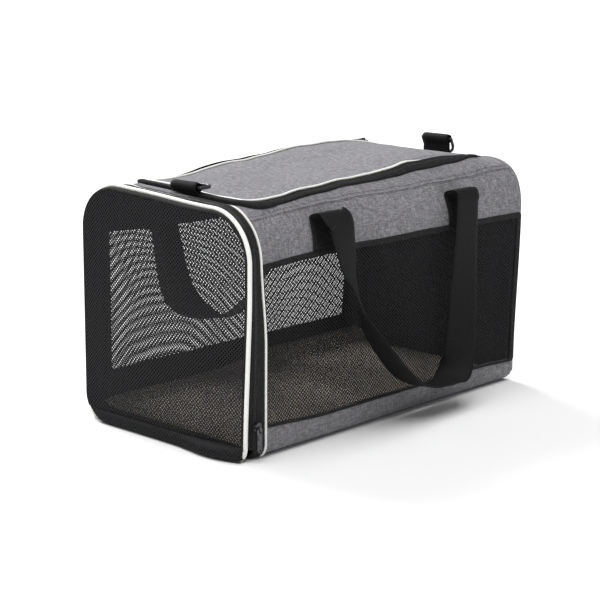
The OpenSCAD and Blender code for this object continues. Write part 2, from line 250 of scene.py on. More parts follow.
def grid_faces(rows, columns, ring=False, tube=False, start=0):
    """Quads between rows of points. ring joins the last row to the first, and tube does so for columns."""
    r = np.arange(rows if ring else rows - 1)
    c = np.arange(columns if tube else columns - 1)
    a, b = np.meshgrid(r, c, indexing="ij")
    a2, b2 = (a + 1) % rows, (b + 1) % columns
    corners = [a * columns + b, a2 * columns + b, a2 * columns + b2, a * columns + b2]
    return np.stack(corners, -1).reshape(-1, 4) + start


def outward(piece):
    """Turns the faces' normals to the outside of a closed mesh, and joins doubled points."""
    work = bmesh.new()
    work.from_mesh(piece.data)
    bmesh.ops.remove_doubles(work, verts=work.verts, dist=0.00002)
    bmesh.ops.recalc_face_normals(work, faces=work.faces)
    work.to_mesh(piece.data)
    work.free()
    return piece


def sweep(name, points, material, ring=False, uv=None):
    """A closed tube or band from rows of profile points, one row for each place along its path."""
    rows, columns = points.shape[:2]
    faces = [list(f) for f in grid_faces(rows, columns, ring, True)]
    if not ring:
        faces.append(list(range(columns)))
        faces.append(list(range((rows - 1) * columns, rows * columns))[::-1])
    piece = make_object(name, points, faces, [material], uv=uv)
    return outward(piece)


def thicken(piece, thick, inner=None):
    """Gives a sheet its thickness on the inside, with another material on that face if it has one."""
    if inner is not None:
        piece.data.materials.append(inner)
    solid = piece.modifiers.new("thickness", "SOLIDIFY")
    solid.thickness = thick * MM
    solid.offset = -1
    solid.use_even_offset = False
    if inner is not None:
        solid.material_offset = 1
        solid.material_offset_rim = 0
    return piece


def sheet_piece(name, points, material, inner=None, thick=WALL, flip=False):
    """A fabric panel from a grid of points, thickened inwards."""
    rows, columns = points.shape[:2]
    faces = grid_faces(rows, columns)
    if flip:
        faces = faces[:, ::-1]
    return thicken(make_object(name, points, faces, [material]), thick, inner)


def circle_profile(r, sides=12):
    """Points round a circle, as two columns."""
    a = np.arange(sides) * 2 * math.pi / sides
    return np.stack([r * np.cos(a), r * np.sin(a)], -1)


def path_frames(path, up):
    """Tangents, side directions and normals along a path, kept square to the given up directions."""
    path = np.asarray(path, float)
    tangent = np.gradient(path, axis=0)
    tangent /= np.linalg.norm(tangent, axis=1)[:, None]
    across = np.cross(tangent, up)
    across /= np.linalg.norm(across, axis=1)[:, None]
    normal = np.cross(across, tangent)
    return tangent, across, normal


def tube(name, path, r, material, up=(0, 0, 1), ring=False, sides=12):
    """A round tube along a path."""
    path = np.asarray(path, float)
    if ring:
        wide = np.concatenate([path[-2:], path, path[:2]])
        _, across, normal = path_frames(wide, np.broadcast_to(up, wide.shape))
        across, normal = across[2:-2], normal[2:-2]
    else:
        _, across, normal = path_frames(path, np.broadcast_to(up, path.shape))
    profile = circle_profile(r, sides)
    points = path[:, None] + profile[None, :, :1] * across[:, None] + profile[None, :, 1:] * normal[:, None]
    return sweep(name, points, material, ring)


def evenly(path, step):
    """Points a step apart along a path."""
    path = np.asarray(path, float)
    length = np.concatenate([[0], np.cumsum(np.linalg.norm(np.diff(path, axis=0), axis=1))])
    count = max(2, int(round(length[-1] / step)) + 1)
    at = np.linspace(0, length[-1], count)
    return np.stack([np.interp(at, length, path[:, i]) for i in range(path.shape[1])], -1)


def beads(name, centres, along, across, normal, size, material):
    """Many small bevelled blocks in one mesh, such as zip teeth. size is length, width and height."""
    shape = np.array([(-1, 0, 0), (-0.55, 1, 0), (0.55, 1, 0), (1, 0, 0), (0.55, -1, 0), (-0.55, -1, 0),
                      (-0.5, 0.35, 1), (0.5, 0.35, 1), (0.5, -0.35, 1), (-0.5, -0.35, 1)], float)
    shape *= np.array(size) / 2
    shape[:, 2] *= 2
    faces = np.array([(0, 1, 6, 6), (0, 6, 9, 9), (0, 9, 5, 5), (1, 2, 7, 6), (2, 3, 7, 7), (3, 8, 7, 7),
                      (3, 4, 8, 8), (4, 5, 9, 8), (6, 7, 8, 9)])
    flat = (centres[:, None] + shape[None, :, :1] * along[:, None] + shape[None, :, 1:2] * across[:, None]
            + shape[None, :, 2:] * normal[:, None])
    count = len(centres)
    bottom = np.array([(5, 4, 3, 2), (5, 2, 1, 0)])
    faces = np.concatenate([faces, bottom])
    all_faces = (faces[None] + 10 * np.arange(count)[:, None, None]).reshape(-1, 4)
    clean = [list(dict.fromkeys(f.tolist())) for f in all_faces]
    return make_object(name, flat, clean, [material], smooth_shading=False)


# ---- Materials ----

def new_material(name):
    """A node material: the material, its node tree and its shader."""
    material = bpy.data.materials.new(name)
    material.use_nodes = True
    tree = material.node_tree
    return material, tree, tree.nodes["Principled BSDF"]


def node(tree, kind, **inputs):
    """A node with its inputs or properties set by name."""
    made = tree.nodes.new(kind)
    for key, value in inputs.items():
        if hasattr(made, key):
            setattr(made, key, value)
        else:
            made.inputs[key.replace("_", " ")].default_value = value
    return made


def stretched_noise(tree, scale, detail=2.0, roughness=0.5, seed=0.0):
    """Noise in the object's own coordinates, in features per metre along X, Y and Z."""
    place = node(tree, "ShaderNodeTexCoord")
    mapping = node(tree, "ShaderNodeMapping")
    mapping.inputs["Scale"].default_value = scale
    mapping.inputs["Location"].default_value = (seed, seed * 0.7, seed * 1.3)
    noise = node(tree, "ShaderNodeTexNoise", Scale=1.0, Detail=detail, Roughness=roughness)
    tree.links.new(place.outputs["Object"], mapping.inputs["Vector"])
    tree.links.new(mapping.outputs["Vector"], noise.inputs["Vector"])
    return noise.outputs["Fac"]


def ramp(tree, fac, stops):
    """A colour ramp with the given places and colours."""
    made = node(tree, "ShaderNodeValToRGB")
    elements = made.color_ramp.elements
    while len(elements) < len(stops):
        elements.new(0.5)
    for element, (at, colour) in zip(elements, stops):
        element.position = at
        element.color = (*colour, 1)
    tree.links.new(fac, made.inputs["Fac"])
    return made.outputs["Color"]


def maths(tree, operation, a, b):
    """One maths node on sockets or numbers."""
    made = node(tree, "ShaderNodeMath", operation=operation)
    for i, value in enumerate((a, b)):
        if isinstance(value, (int, float)):
            made.inputs[i].default_value = value
        else:
            tree.links.new(value, made.inputs[i])
    return made.outputs[0]


def add_bump(tree, shader, height, strength, distance):
    """Bump from a height, with its depth in millimetres."""
    bump = node(tree, "ShaderNodeBump", Strength=strength, Distance=distance * MM)
    tree.links.new(height, bump.inputs["Height"])
    tree.links.new(bump.outputs["Normal"], shader.inputs["Normal"])


def grey(value, tint=(1, 1, 1)):
    """A grey with a slight tint."""
    return tuple(value * c for c in tint)


def heather_material(name, warp_scale, weft_scale):
    """Two-tone woven polyester: dark and light threads running both ways, with slubs."""
    material, tree, shader = new_material(name)
    warp = stretched_noise(tree, warp_scale, 3, 0.6, 1.0)
    weft = stretched_noise(tree, weft_scale, 3, 0.6, 5.0)
    fine = stretched_noise(tree, (1500, 1500, 1500), 2, 0.6, 9.0)
    cloud = stretched_noise(tree, (14, 14, 14), 2, 0.5, 13.0)
    threads = maths(tree, "ADD", maths(tree, "MULTIPLY", warp, 0.5), maths(tree, "MULTIPLY", weft, 0.5))
    mixed = maths(tree, "ADD", maths(tree, "MULTIPLY", threads, 0.80), maths(tree, "MULTIPLY", fine, 0.15))
    mixed = maths(tree, "ADD", mixed, maths(tree, "MULTIPLY", cloud, 0.05))
    tint = (1.0, 0.975, 1.045)
    colour = ramp(tree, mixed, [(0.34, grey(0.07, tint)), (0.45, grey(0.135, tint)), (0.53, grey(0.22, tint)),
                                (0.66, grey(0.37, tint))])
    tree.links.new(colour, shader.inputs["Base Color"])
    shader.inputs["Roughness"].default_value = 0.88
    shader.inputs["Specular IOR Level"].default_value = 0.25
    shader.inputs["Sheen Weight"].default_value = 0.08
    add_bump(tree, shader, maths(tree, "ADD", threads, fine), 0.5, 0.35)
    return material


def cloth_material(name, dark, light, scale, roughness=0.85, gloss=0.15, depth=0.25):
    """Plain woven cloth or tape whose threads vary between two colours."""
    material, tree, shader = new_material(name)
    along = stretched_noise(tree, (scale * 0.12, scale, scale), 2, 0.5, 2.0)
    over = stretched_noise(tree, (scale, scale * 0.12, scale * 0.12), 2, 0.5, 4.0)
    weave = maths(tree, "MULTIPLY", maths(tree, "ADD", along, over), 0.5)
    tree.links.new(ramp(tree, weave, [(0.38, dark), (0.62, light)]), shader.inputs["Base Color"])
    shader.inputs["Roughness"].default_value = roughness
    shader.inputs["Specular IOR Level"].default_value = gloss
    add_bump(tree, shader, weave, 0.5, depth)
    return material


def webbing_material():
    """Ribbed webbing: ribs along its length and a fine herringbone, in the strap's own coordinates."""
    material, tree, shader = new_material("webbing")
    place = node(tree, "ShaderNodeTexCoord")
    ribs = node(tree, "ShaderNodeTexWave", wave_type="BANDS", bands_direction="Y", Scale=0.32 * 1000 / 2.6,
                Distortion=0.4, Detail=1.0)
    picks = node(tree, "ShaderNodeTexWave", wave_type="BANDS", bands_direction="X", Scale=0.32 * 1000 / 1.6,
                 Distortion=1.2, Detail=1.0)
    for wave in (ribs, picks):
        tree.links.new(place.outputs["UV"], wave.inputs["Vector"])
    height = maths(tree, "ADD", maths(tree, "MULTIPLY", ribs.outputs["Fac"], 0.7),
                   maths(tree, "MULTIPLY", picks.outputs["Fac"], 0.3))
    fuzz = stretched_noise(tree, (260, 260, 260), 3, 0.6, 3.0)
    tone = maths(tree, "ADD", maths(tree, "MULTIPLY", height, 0.6), maths(tree, "MULTIPLY", fuzz, 0.4))
    tree.links.new(ramp(tree, tone, [(0.2, grey(0.003)), (0.8, grey(0.0125, (1, 1, 1.08)))]),
                   shader.inputs["Base Color"])
    shader.inputs["Roughness"].default_value = 0.75
    shader.inputs["Specular IOR Level"].default_value = 0.18
    add_bump(tree, shader, height, 0.5, 0.3)
    return material


def smooth_material(name, colour, roughness, metallic=0.0, wear=0.15, scale=90, coat=0.0):
    """Moulded, coated or metal surface with uneven gloss."""
    material, tree, shader = new_material(name)
    blotch = stretched_noise(tree, (scale, scale, scale), 3, 0.55, 6.0)
    low = tuple(c * (1 - wear) for c in colour)
    high = tuple(min(1.0, c * (1 + wear)) for c in colour)
    tree.links.new(ramp(tree, blotch, [(0.35, low), (0.65, high)]), shader.inputs["Base Color"])
    spread = maths(tree, "ADD", maths(tree, "MULTIPLY", blotch, 0.25), roughness - 0.125)
    tree.links.new(spread, shader.inputs["Roughness"])
    shader.inputs["Metallic"].default_value = metallic
    shader.inputs["Coat Weight"].default_value = coat
    return material


def mesh_material():
    """Black knitted mesh: plain yarn whose surface varies along the threads."""
    material, tree, shader = new_material("mesh_fabric")
    shader.inputs["Base Color"].default_value = (0.018, 0.018, 0.020, 1)
    shader.inputs["Roughness"].default_value = 0.7
    shader.inputs["Specular IOR Level"].default_value = 0.2
    add_bump(tree, shader, stretched_noise(tree, (1400, 1400, 1400), 2, 0.6, 8.0), 0.5, 0.15)
    return material


def fleece_material():
    """Short beige plush with uneven pile."""
    material, tree, shader = new_material("fleece")
    pile = stretched_noise(tree, (420, 420, 420), 4, 0.65, 1.5)
    patches = stretched_noise(tree, (22, 22, 22), 3, 0.5, 7.0)
    tone = maths(tree, "ADD", maths(tree, "MULTIPLY", pile, 0.65), maths(tree, "MULTIPLY", patches, 0.35))
    tree.links.new(ramp(tree, tone, [(0.34, (0.74, 0.62, 0.49)), (0.66, (0.95, 0.84, 0.71))]),
                   shader.inputs["Base Color"])
    shader.inputs["Roughness"].default_value = 0.95
    shader.inputs["Sheen Weight"].default_value = 0.5
    add_bump(tree, shader, pile, 0.9, 1.2)
    return material


HEATHER = heather_material("heather_fabric", (130, 900, 900), (900, 130, 130))
HEATHER_REAR = heather_material("heather_fabric_rear", (900, 130, 900), (900, 900, 130))
LINING = cloth_material("lining", grey(0.024, (1, 0.95, 1.08)), grey(0.058, (1, 0.95, 1.08)), 900, 0.8)
BLACK_TAPE = cloth_material("black_fabric", grey(0.009), grey(0.026, (1, 1, 1.04)), 1100)
WEB = webbing_material()
PIPING = smooth_material("white_piping", (0.88, 0.88, 0.84), 0.42, wear=0.03, scale=60)
COIL = smooth_material("zip_coil", (0.022, 0.022, 0.025), 0.38, wear=0.25, scale=300)
METAL = smooth_material("zip_metal", (0.10, 0.10, 0.11), 0.30, metallic=1.0, wear=0.4, scale=220)
RING = smooth_material("ring_plastic", (0.020, 0.020, 0.022), 0.34, wear=0.3, scale=160, coat=0.2)
FLEECE = fleece_material()
THREAD = mesh_material()
STITCH = cloth_material("thread", grey(0.03), grey(0.07), 1500, 0.7, 0.1, 0.05)
BOARD = cloth_material("board", grey(0.016), grey(0.035), 800, 0.8)
WIRE = smooth_material("spring_wire", (0.55, 0.55, 0.57), 0.35, metallic=1.0, wear=0.1)


# ---- Camera, floor and light ----

def make_camera():
    """The camera at the object's three-quarter front view."""
    place = np.array([-1.4057, -1.2834, 0.5420])
    heading, down, roll = (math.radians(a) for a in (47.20, 12.46, 0.40))
    level = math.cos(down)
    ahead = np.array([math.sin(heading) * level, math.cos(heading) * level, -math.sin(down)])
    right = np.array([math.cos(heading), -math.sin(heading), 0.0])
    up = np.cross(right, ahead)
    right, up = (math.cos(roll) * right + math.sin(roll) * up, math.cos(roll) * up - math.sin(roll) * right)
    data = bpy.data.cameras.new("camera")
    data.lens = 97.14
    data.sensor_width = 36.0
    camera = bpy.data.objects.new("camera", data)
    turn = Matrix((right, up, -ahead)).transposed().to_4x4()
    camera.matrix_world = Matrix.Translation(Vector(place)) @ turn
    bpy.context.scene.collection.objects.link(camera)
    bpy.context.scene.camera = camera


def make_stage():
    """A plain pale floor, a white surround, a large soft lamp overhead and one behind the bag."""
    reach = 60000
    floor = make_object("floor", [(-reach, -reach, -0.6), (reach, -reach, -0.6), (reach, reach, -0.6),
                                  (-reach, reach, -0.6)], [(0, 1, 2, 3)])
    material, _, shader = new_material("floor")
    shader.inputs["Base Color"].default_value = (0.88, 0.88, 0.88, 1)
    shader.inputs["Roughness"].default_value = 0.9
    floor.data.materials.append(material)
    world = bpy.data.worlds.new("world")
    bpy.context.scene.world = world
    world.use_nodes = True
    world.node_tree.nodes["Background"].inputs["Color"].default_value = (1, 1, 1, 1)
    world.node_tree.nodes["Background"].inputs["Strength"].default_value = 0.32
    for name, energy, spread, way in (("softbox", 2.6, 50, (0.25, 0.12, -1.0)),
                                      ("backlight", 2.8, 30, (-0.12, -0.8, -0.6))):
        data = bpy.data.lights.new(name, "SUN")
        data.energy = energy
        data.angle = math.radians(spread)
        lamp = bpy.data.objects.new(name, data)
        aim = Vector(way).to_track_quat("-Z", "Y")
        lamp.matrix_world = Matrix.Translation((0, 0, 3)) @ aim.to_matrix().to_4x4()
        bpy.context.scene.collection.objects.link(lamp)


make_camera()
make_stage()
bpy.context.scene.view_settings.view_transform = "Standard"


# ---- Putting pieces on the frame ----

def fit(piece, body, slot_name, *nodes):
    """The piece rides on a body and stands for CAD nodes. slot_name is not used."""
    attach(piece, body)
    if nodes:
        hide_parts(*nodes)
    return piece


SKIN_LENGTH = SKIN_REAR - SKIN_FRONT


# ---- Tracks: lines on the shell that strips, teeth and stitches follow ----

def section_track(x0, start):
    """A track round the section at x0, from distance start on the near side over to the far side."""
    def track(s, d, lift):
        q = start + np.asarray(s, float)
        side = np.where(q < T_MID, -1.0, 1.0)
        return skin(x0 + np.asarray(d, float), T_MID - np.abs(T_MID - q), side, lift)
    return track


def section_length(start):
    """The length of that track."""
    return 2 * (T_MID - start)


def straight_track(t0, side, x0=SKIN_FRONT):
    """A track along the bag at distance t0 on one side."""
    def track(s, d, lift):
        return skin(x0 + np.asarray(s, float), t0 + np.asarray(d, float), side, lift)
    return track


def roof_point(x, y, lift):
    """A point on the roof from above."""
    y = np.asarray(y, float)
    return skin(x, t_at_y(y), np.where(y < 0, -1.0, 1.0), lift)


def flap_edge(x):
    """Half of the flap's width at x."""
    x = np.asarray(x, float)
    corner = FLAP_FRONT + FLAP_CORNER
    front = HALF - FLAP_SIDE_FRONT
    slope = (front - HALF + FLAP_SIDE_REAR) / (FLAP_REAR - corner)
    into = np.clip(corner - x, 0, FLAP_CORNER)
    return np.where(x < corner, front - FLAP_CORNER + np.sqrt(FLAP_CORNER ** 2 - into ** 2),
                    front - slope * (x - corner))


def flap_outline():
    """The flap's edge from above, from its near rear end round the front to its far rear end."""
    corner = FLAP_FRONT + FLAP_CORNER
    turn = np.linspace(0, math.pi / 2, 24)
    xs = np.concatenate([np.linspace(FLAP_REAR, corner + 1, 180), corner - FLAP_CORNER * np.sin(turn)])
    ys = flap_edge(xs)
    front = np.linspace(-ys[-1], ys[-1], 72)[1:-1]
    near = np.stack([xs, -ys], -1)
    middle = np.stack([np.full_like(front, FLAP_FRONT), front], -1)
    return np.concatenate([near, middle, near[::-1] * (1, -1)])


EDGE = evenly(flap_outline(), 1.0)
EDGE_LENGTH = float(np.sum(np.linalg.norm(np.diff(EDGE, axis=0), axis=1)))
EDGE_AT = np.linspace(0, EDGE_LENGTH, len(EDGE))
EDGE_WAY = np.gradient(EDGE, axis=0)
EDGE_WAY /= np.linalg.norm(EDGE_WAY, axis=1)[:, None]


def flap_rise(x):
    """How much higher the padded flap's edge lies than the roof beside it."""
    return 5.5 * smooth(-60, 110, x) * (1 - smooth(140, FLAP_REAR, x))


def flap_track(s, d, lift):
    """The track round the flap's edge. d is measured outwards from the edge."""
    s = np.asarray(s, float)
    x, y = (np.interp(s, EDGE_AT, row) for row in EDGE.T)
    wx, wy = (np.interp(s, EDGE_AT, row) for row in EDGE_WAY.T)
    return roof_point(x - wy * d, y + wx * d, lift + flap_rise(x) * (1 - smooth(-4, 6, d)))


def track_frames(track, s, d=0.0, lift=0.0, step=0.4):
    """Places on a track with their directions along it, across it and away from the shell."""
    s = np.asarray(s, float)
    centre = track(s, d, lift)
    along = track(s + step, d, lift) - track(s - step, d, lift)
    away = track(s, d, lift + step) - track(s, d, lift - step)
    along /= np.linalg.norm(along, axis=-1)[:, None]
    away /= np.linalg.norm(away, axis=-1)[:, None]
    return centre, along, np.cross(away, along), away


def strip_on(name, track, length, profile, material, ring=False, step=4.0):
    """A band along a track with a closed profile of offsets and lifts."""
    count = max(3, int(length / step))
    s = np.arange(count) * length / count if ring else np.linspace(0, length, count + 1)
    profile = np.asarray(profile, float)
    return sweep(name, track(s[:, None], profile[None, :, 0], profile[None, :, 1]), material, ring)


def stitches_on(name, track, start, end, d, pitch=3.4, lift=0.0):
    """A row of thread stitches along a track."""
    s = np.arange(start + pitch / 2, end, pitch)
    return beads(name, *track_frames(track, s, d, lift), (2.3, 0.55, 0.32), STITCH)


def teeth_on(name, track, length, d, lift, offset, pitch=1.6, width=3.2):
    """One half of a zip: its coil's turns along a track."""
    s = np.arange(pitch * (0.5 + offset), length - pitch / 2, pitch)
    return beads(name, *track_frames(track, s, d, lift), (pitch * 0.62, width, 0.7), COIL)


def pillow(a, b, low, high, power=0.55, count=18):
    """The closed profile of a soft band from a to b, between two lifts."""
    angle = np.arange(count) * 2 * math.pi / count
    c, s = np.cos(angle), np.sin(angle)
    across = (a + b) / 2 + (b - a) / 2 * np.sign(c) * np.abs(c) ** power
    up = (low + high) / 2 + (high - low) / 2 * np.sign(s) * np.abs(s) ** power
    return np.stack([across, up], -1)


# ---- Fabric panels of the shell ----

X_SKIN = np.linspace(SKIN_FRONT, SKIN_REAR, 150)


def shell_panel(name, t_from, t_to, side, rows):
    """A panel on one side of the shell between two distances along the section."""
    t = t_from + (np.reshape(t_to, (-1, 1)) - t_from) * np.linspace(0, 1, rows)
    points = skin(X_SKIN[:, None], t, side, 0.0)
    return sheet_piece(name, points, HEATHER, LINING, flip=side > 0)


def make_bands():
    """The lower and upper bands of both sides, and the base."""
    seam_t = float(t_at_y(SEAM_Y))
    for side, word in ((-1, "near"), (1, "far")):
        low_t = window_edge(X_SKIN, side) + 1
        low = shell_panel("lower_band_" + word + "_cloth", T_ARC, low_t, side, 22)
        fit(low, "root", "heather_fabric", "lower_band_" + word)
        top_t = WINDOW_T[side][1] - 1
        high = shell_panel("upper_band_" + word + "_cloth", top_t, seam_t, side, 26)
        fit(high, "root", "heather_fabric", "upper_band_" + word)
        for row, t0 in enumerate((seam_t - 2.6, T_ARC + 3)):
            rows = stitches_on("band_stitches_%s_%d" % (word, row), straight_track(t0, side),
                               2, SKIN_LENGTH - 4, 0, lift=0.1)
            fit(rows, "root", "black_fabric")
    y = np.linspace(-T_ARC, T_ARC, 60)
    points = skin(X_SKIN[:, None], np.abs(y)[None, :], np.where(y < 0, -1, 1)[None, :], 0.0)
    base = sheet_piece("base_cloth", points, BLACK_TAPE, LINING, flip=True)
    fit(base, "root", "black_fabric", "base_panel")


def roof_ramp(x, y):
    """How far a place is inside the flap's edge."""
    return np.minimum(flap_edge(x) - np.abs(y), x - FLAP_FRONT)


def puff(x, y):
    """How far the flap's filling lifts it."""
    inside = roof_ramp(x, y)
    return 2.6 * smooth(2, 46, inside) * (1 - 0.6 * smooth(FLAP_REAR - 60, FLAP_REAR, x)) + flap_rise(x) * (
        1 - smooth(-4, 6, -inside))


def make_roof():
    """The roof round the flap, in the four pieces that it is sewn from."""
    corner = FLAP_FRONT + FLAP_CORNER
    for side, word in ((-1, "near"), (1, "far")):
        x = np.linspace(corner, FLAP_REAR, 130)
        w = np.linspace(0, 1, 12)
        y = flap_edge(x)[:, None] * (1 - w) + SEAM_Y * w
        strip = sheet_piece("roof_strip_%s_cloth" % word, roof_point(x[:, None], side * y, 0.0),
                            HEATHER, LINING, flip=side < 0)
        fit(strip, "root", "heather_fabric", "roof_strip_" + word)
    x = np.linspace(FLAP_REAR, SKIN_REAR, 16)
    y = np.linspace(-SEAM_Y, SEAM_Y, 70)
    rear = sheet_piece("roof_rear_cloth", roof_point(x[:, None], y[None, :], 0.0), HEATHER, LINING)
    fit(rear, "root", "heather_fabric", "roof_rear")

    turn = np.linspace(0, math.pi / 2, 16)
    inner_x = corner - FLAP_CORNER * np.sin(turn)
    inner = np.stack([inner_x, flap_edge(inner_x)], -1)
    reach = np.linspace(0, 1, 16)
    bend = np.clip((reach - 0.5) * 2, 0, 1)
    outer = np.stack([corner + (SKIN_FRONT - corner) * np.clip(reach * 2, 0, 1),
                      SEAM_Y + (inner[-1, 1] - SEAM_Y) * bend], -1)
    middle = np.linspace(1, -1, 40)[1:-1]
    inner = np.concatenate([inner, np.stack([np.full_like(middle, FLAP_FRONT), middle * inner[-1, 1]], -1),
                            inner[::-1] * (1, -1)])
    outer = np.concatenate([outer, np.stack([np.full_like(middle, SKIN_FRONT), middle * outer[-1, 1]], -1),
                            outer[::-1] * (1, -1)])
    w = np.linspace(0, 1, 10)[None, :, None]
    plan = inner[:, None] * (1 - w) + outer[:, None] * w
    front = sheet_piece("roof_front_cloth", roof_point(plan[..., 0], plan[..., 1], 0.0),
                        HEATHER, LINING, flip=True)
    fit(front, "root", "heather_fabric", "roof_front")
    for side, word in ((-1, "near"), (1, "far")):
        seam_t = float(t_at_y(SEAM_Y))
        rib = strip_on("shoulder_seam_" + word, straight_track(seam_t, side), SKIN_LENGTH - 1,
                       pillow(-1.2, 1.2, -0.8, 0.95), HEATHER)
        fit(rib, "root", "heather_fabric")
        row = stitches_on("roof_stitches_" + word, straight_track(seam_t + 3.4, side),
                          2, SKIN_LENGTH - 4, 0, lift=0.1)
        fit(row, "root", "black_fabric")


def make_flap():
    """The roof flap: its padded cloth, its piping and its half of the zip."""
    turn = np.linspace(math.pi / 2, 0, 18)[:-1]
    corner = FLAP_FRONT + FLAP_CORNER
    x = np.concatenate([corner - FLAP_CORNER * np.sin(turn), np.linspace(corner, FLAP_REAR - 0.6, 130)])
    x[0] = FLAP_FRONT + 0.4
    w = np.linspace(-1, 1, 90)
    y = (flap_edge(x)[:, None] - 0.6) * w
    lift = puff(x[:, None], y)
    cloth = sheet_piece("flap_cloth", roof_point(x[:, None], y, lift), HEATHER, LINING)
    fit(cloth, "flap", "heather_fabric", "flap_panel")

    length = EDGE_LENGTH
    tape = strip_on("flap_zip_tape", flap_track, length, pillow(-4.6, -1.4, -0.3, 0.9), BLACK_TAPE, step=3)
    fit(tape, "flap", "zip_coil", "flap_zip_half")
    teeth = teeth_on("flap_zip_coil", flap_track, length, -0.9, 0.7, 0.0, width=2.6)
    fit(teeth, "flap", "zip_coil")
    s = np.linspace(0, length, 330)
    tucked = smooth(60, 115, np.interp(s, EDGE_AT, EDGE[:, 0])) * (s < length / 2)
    centre, _, _, away = track_frames(flap_track, s, -5.9, 1.5 - 3.2 * tucked)
    piping = tube("flap_piping_cord", centre, 1.45, PIPING, up=away)
    fit(piping, "flap", "white_piping", "flap_piping")
    row = stitches_on("flap_stitches", flap_track, 3, length - 3, -10.5, lift=0.55)
    fit(row, "flap", "black_fabric")

    fold = strip_on("flap_hinge_fold", lambda s, d, lift: roof_point(FLAP_REAR + d, s - 82, lift), 164,
                    pillow(-1.8, 1.8, -1.4, 0.5), HEATHER)
    fit(fold, "root", "heather_fabric")

    def full_track(s, d, lift):
        at = np.interp(np.asarray(s, float), EDGE_AT, EDGE[:, 0])
        near = np.where(np.asarray(s, float) < length / 2, 1.0, 0.55)
        fuller = 1 + 0.8 * near * np.exp(-((at - FLAP_FRONT - 6) / 17) ** 2)
        proud = 3.2 * (near < 1) * smooth(-170, -90, at) * (1 - smooth(175, FLAP_REAR, at))
        return flap_track(s, d * fuller, lift * fuller + proud * smooth(-1, 1, lift))

    roof_tape = strip_on("roof_zip_tape", full_track, length, pillow(1.0, 6.0, -0.5, 3.0), BLACK_TAPE, step=3)
    fit(roof_tape, "root", "zip_coil", "roof_zip_half")
    roof_teeth = teeth_on("roof_zip_coil", flap_track, length, 0.9, 0.7, 0.5, width=2.6)
    fit(roof_teeth, "root", "zip_coil")


def make_zip_ends():
    """The pointed tabs over the ends of the roof's zip."""
    for word in ("near", "far"):
        low, high = box_mm("zip_end_" + word)
        middle = (low[1] + high[1]) / 2
        u = np.linspace(0, 1, 14)
        half = (high[1] - low[1]) / 2 * (1 - u) + 0.25
        v = np.linspace(-1, 1, 9)
        x = low[0] - 3 + (high[0] - low[0] + 3) * u
        lift = 1.0 + 0.9 * np.sqrt(np.clip(1 - v ** 2, 0, 1))[None, :] * (1 - 0.5 * u)[:, None]
        points = roof_point(x[:, None] + 0 * v, middle + half[:, None] * v, lift)
        tab = sheet_piece("zip_end_%s_tab" % word, points, BLACK_TAPE, thick=1.6)
        fit(tab, "root", "black_fabric", "zip_end_" + word)


# ---- Mesh fabric ----

def net(name, place, size, keep, pitch, thread):
    """Knitted mesh as crossing threads. place turns two distances and a lift into a point."""
    steps = [int(round(2 * length / gap)) for length, gap in zip(size, pitch)]
    hu, hv = size[0] / steps[0], size[1] / steps[1]
    i, j = np.meshgrid(np.arange(steps[0] + 1), np.arange(steps[1] + 1), indexing="ij")
    u, v = i * hu, j * hv
    used = ((i + j) % 2 == 0) & keep(u, v)
    number = np.full(used.shape, -1)
    number[used] = np.arange(used.sum())
    a = thread / math.sqrt(2)
    cu = u[used][:, None] + np.array([a, 0, -a, 0])
    cv = v[used][:, None] + np.array([0, a, 0, -a])
    top = place(cu, cv, 0.0).reshape(-1, 3)
    low = place(cu, cv, -NET_THICK).reshape(-1, 3)
    n = number[used]
    quads = [np.stack([4 * n, 4 * n + 1, 4 * n + 2, 4 * n + 3], -1)]
    walls = []
    up_right = (number[:-1, :-1], number[1:, 1:])
    good = (up_right[0] >= 0) & (up_right[1] >= 0)
    p, q = 4 * up_right[0][good], 4 * up_right[1][good]
    quads.append(np.stack([p, q + 3, q + 2, p + 1], -1))
    walls += [(q + 3, p), (p + 1, q + 2)]
    up_left = (number[1:, :-1], number[:-1, 1:])
    good = (up_left[0] >= 0) & (up_left[1] >= 0)
    p, q = 4 * up_left[0][good], 4 * up_left[1][good]
    quads.append(np.stack([p + 2, p + 1, q, q + 3], -1))
    walls += [(p + 1, q), (q + 3, p + 2)]
    quads = np.concatenate(quads)
    total = len(top)
    framed = np.pad(number, 1, constant_values=-1)
    for di, dj, b, c in ((1, 1, 1, 0), (-1, 1, 2, 1), (-1, -1, 3, 2), (1, -1, 0, 3)):
        beside = framed[1 + di:framed.shape[0] - 1 + di, 1 + dj:framed.shape[1] - 1 + dj]
        bare = number[(number >= 0) & (beside < 0)]
        walls.append((4 * bare + b, 4 * bare + c))
    sides = np.concatenate([np.stack([b, c, c + total, b + total], -1) for b, c in walls])
    faces = np.concatenate([quads, quads[:, ::-1] + total, sides])
    return make_object(name, np.concatenate([top, low]), faces, [THREAD], smooth_shading=False)


def rounded_rectangle(x0, x1, z0, z1, corner):
    """A closed path round a rectangle with rounded corners, always with the same number of points."""
    turn = np.linspace(0, math.pi / 2, 7)
    path = []
    for x, z, first in ((x1 - corner, z1 - corner, 0), (x0 + corner, z1 - corner, 1),
                        (x0 + corner, z0 + corner, 2), (x1 - corner, z0 + corner, 3)):
        angle = turn + first * math.pi / 2
        path.append(np.stack([x + corner * np.cos(angle), z + corner * np.sin(angle)], -1))
    path = np.concatenate(path + [path[0][:1]])
    fine = [a + (b - a) * k for a, b in zip(path[:-1], path[1:])
            for k in np.linspace(0, 1, 90 if np.linalg.norm(b - a) > 50 else 2)[:-1, None]]
    return np.array(fine)


def everywhere(u, v):
    """Keeps every knot of a net."""
    return (u >= 0) & (v >= 0)


